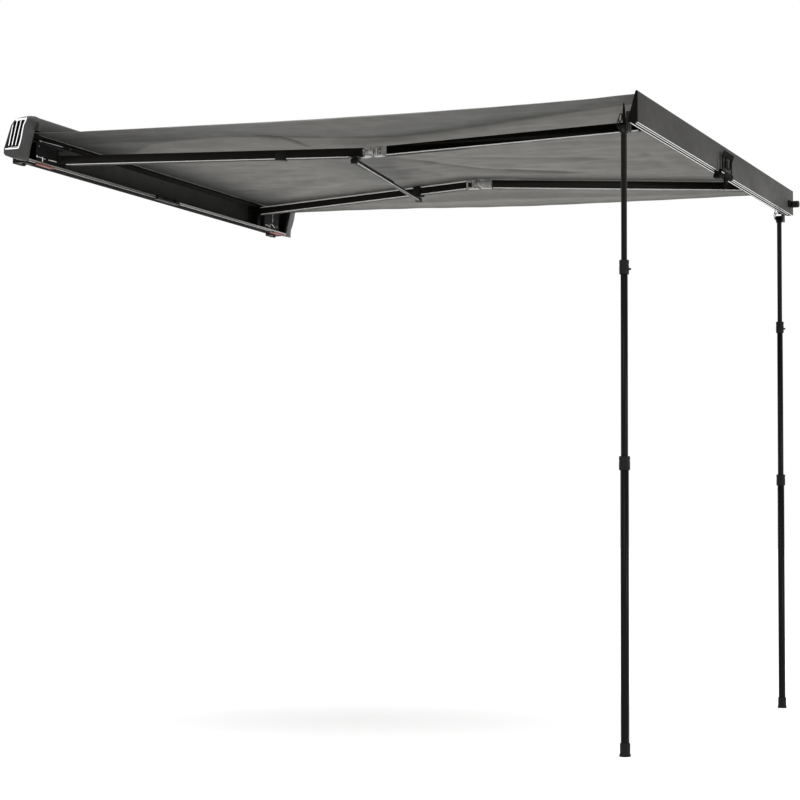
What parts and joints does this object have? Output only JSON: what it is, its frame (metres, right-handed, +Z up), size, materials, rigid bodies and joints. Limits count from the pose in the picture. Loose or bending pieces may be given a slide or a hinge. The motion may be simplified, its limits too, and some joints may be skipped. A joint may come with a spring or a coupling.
{
  "type": "vehicle side awning",
  "caption": "Vehicle side awning: a wall case with folding elbow arms that carry a lead rail and stretched canopy, telescopic drop legs and a tension rafter; hangs from a roof rack.",
  "frame": {"origin": "on the backs of the two mounting brackets, midway along the case, at the height of the case's middle", "axes": "+X along the case from the near end to the far end, +Y into the vehicle, +Z up; the canopy reaches out along -Y"},
  "size_m": [2.5, 2.5639, 2.3577],
  "materials": {
    "shell": "satin dark grey",
    "cap": "satin grey",
    "silver": "brushed",
    "black": "fine texture",
    "cloth": "woven, matt",
    "drum": "wound cloth",
    "steel": "satin",
    "red": "satin",
    "arm": "satin black",
    "rail": "satin grey",
    "tube": "satin black",
    "rubber": "matt"
  },
  "bodies": {
    "case": {"case_shell": "shell", "end_cap_near": "cap", "end_cap_far": "cap", "guide_strip": "silver", "lip_strip_near": "silver", "lip_strip_far": "silver", "lip_keeper": "black", "mount_bracket_near": "black", "mount_bracket_far": "black", "shoulder_bracket_near": "steel", "shoulder_bracket_far": "steel", "shoulder_pin_near": "steel", "shoulder_pin_far": "steel", "canopy": "cloth"},
    "roller": {"cloth_roller": "drum"},
    "tab_near": {"release_tab_near": "red"},
    "tab_far": {"release_tab_far": "red"},
    "rear_near": {"rear_arm_near": "arm", "elbow_rear_near": "silver", "elbow_pin_near": "steel", "rafter_clip": "black", "rafter_bracket": "black"},
    "front_near": {"front_arm_near": "arm", "elbow_front_near": "silver"},
    "rail": {"lead_rail": "rail", "rail_cap_near": "black", "rail_cap_far": "black", "wrist_bracket_near": "black", "wrist_bracket_far": "black", "handle_latch": "black", "leg_bracket_near": "black", "leg_bracket_far": "black", "leg_bolt_near": "steel", "leg_bolt_far": "steel"},
    "handle": {"pull_handle": "arm"},
    "knob": {"rail_knob": "black"},
    "rear_far": {"rear_arm_far": "arm", "elbow_rear_far": "silver", "elbow_pin_far": "steel", "rafter_jaw": "black"},
    "front_far": {"front_arm_far": "arm", "elbow_front_far": "silver"},
    "rafter": {"rafter_outer": "arm"},
    "rafter_rod": {"rafter_inner": "silver", "rafter_tip": "black"},
    "leg_upper_near": {"leg_upper_near": "tube"},
    "leg_mid_near": {"leg_mid_near": "tube", "leg_clamp_upper_near": "black"},
    "leg_lower_near": {"leg_lower_near": "tube", "leg_clamp_lower_near": "black", "leg_foot_near": "rubber"},
    "leg_upper_far": {"leg_upper_far": "tube"},
    "leg_mid_far": {"leg_mid_far": "tube", "leg_clamp_upper_far": "black"},
    "leg_lower_far": {"leg_lower_far": "tube", "leg_clamp_lower_far": "black", "leg_foot_far": "rubber"}
  },
  "joints": [
    {"name": "roller_turn", "type": "hinge", "parent": "case", "child": "roller", "pos_m": [0, -0.0715, 0.0695], "axis": [1, 0, 0], "continuous": true},
    {"name": "release_tab_near_turn", "type": "hinge", "parent": "case", "child": "tab_near", "pos_m": [-1.018, -0.0815, -0.068], "axis": [0, 0, 1], "range_deg": [0, 15]},
    {"name": "release_tab_far_turn", "type": "hinge", "parent": "case", "child": "tab_far", "pos_m": [1.018, -0.0815, -0.068], "axis": [0, 0, -1], "range_deg": [0, 15]},
    {"name": "arm_fold", "type": "hinge", "parent": "case", "child": "rear_near", "pos_m": [-0.925, -0.0455, -0.022], "axis": [0.016, 0, 0.9999], "range_deg": [0, 74.15], "deforming": ["canopy"]},
    {"name": "elbow_near", "type": "hinge", "parent": "rear_near", "child": "front_near", "pos_m": [-0.61204, -1.2575, -0.02701], "axis": [-0.016, 0, -0.9999], "range_deg": [0, 148.31]},
    {"name": "wrist_near", "type": "hinge", "parent": "front_near", "child": "rail", "pos_m": [-0.925, -2.4695, -0.022], "axis": [0.016, 0, 0.9999], "range_deg": [0, 74.17]},
    {"name": "shoulder_far", "type": "hinge", "parent": "case", "child": "rear_far", "pos_m": [0.925, -0.0455, 0.0165], "axis": [0.016, 0, -0.9999], "range_deg": [0, 74.17]},
    {"name": "elbow_far", "type": "hinge", "parent": "rear_far", "child": "front_far", "pos_m": [0.61204, -1.2575, 0.01149], "axis": [-0.016, 0, 0.9999], "range_deg": [0, 148.31]},
    {"name": "rafter_swing", "type": "hinge", "parent": "rear_near", "child": "rafter", "pos_m": [-0.64689, -1.2128, -0.0485], "axis": [-0.016, 0, -0.9999], "range_deg": [0, 84.92]},
    {"name": "rafter_slide", "type": "slide", "parent": "rafter", "child": "rafter_rod", "axis": [-0.9819, -0.1866, -0.0312], "range_m": [0, 0.491]},
    {"name": "handle_swing", "type": "hinge", "parent": "rail", "child": "handle", "pos_m": [0, -2.5303, -0.0776], "axis": [1, 0, 0], "range_deg": [0, 60]},
    {"name": "knob_turn", "type": "hinge", "parent": "rail", "child": "knob", "pos_m": [1.185, -2.5255, -0.037], "axis": [0, 1, 0], "continuous": true},
    {"name": "leg_fold_near", "type": "hinge", "parent": "rail", "child": "leg_upper_near", "pos_m": [-1.2127, -2.4688, -0.092], "axis": [0, -1, 0], "range_deg": [0, 90]},
    {"name": "leg_mid_slide_near", "type": "slide", "parent": "leg_upper_near", "child": "leg_mid_near", "axis": [0, 0, 1], "range_m": [0, 0.41]},
    {"name": "leg_lower_slide_near", "type": "slide", "parent": "leg_mid_near", "child": "leg_lower_near", "axis": [0, 0, 1], "range_m": [0, 0.56]},
    {"name": "leg_fold_far", "type": "hinge", "parent": "rail", "child": "leg_upper_far", "pos_m": [1.2127, -2.4688, -0.092], "axis": [0, 1, 0], "range_deg": [0, 90]},
    {"name": "leg_mid_slide_far", "type": "slide", "parent": "leg_upper_far", "child": "leg_mid_far", "axis": [0, 0, 1], "range_m": [0, 0.41]},
    {"name": "leg_lower_slide_far", "type": "slide", "parent": "leg_mid_far", "child": "leg_lower_far", "axis": [0, 0, 1], "range_m": [0, 0.56]}
  ],
  "couplings": [
    {"joint": "elbow_near", "follows": "arm_fold", "ratio": 2},
    {"joint": "wrist_near", "follows": "arm_fold", "ratio": 1},
    {"joint": "shoulder_far", "follows": "arm_fold", "ratio": 1},
    {"joint": "elbow_far", "follows": "arm_fold", "ratio": 2},
    {"joint": "rafter_swing", "follows": "arm_fold", "ratio": 1.1451},
    {"joint": "rafter_slide", "follows": "arm_fold", "m_per_rad": 0.37864}
  ]
}
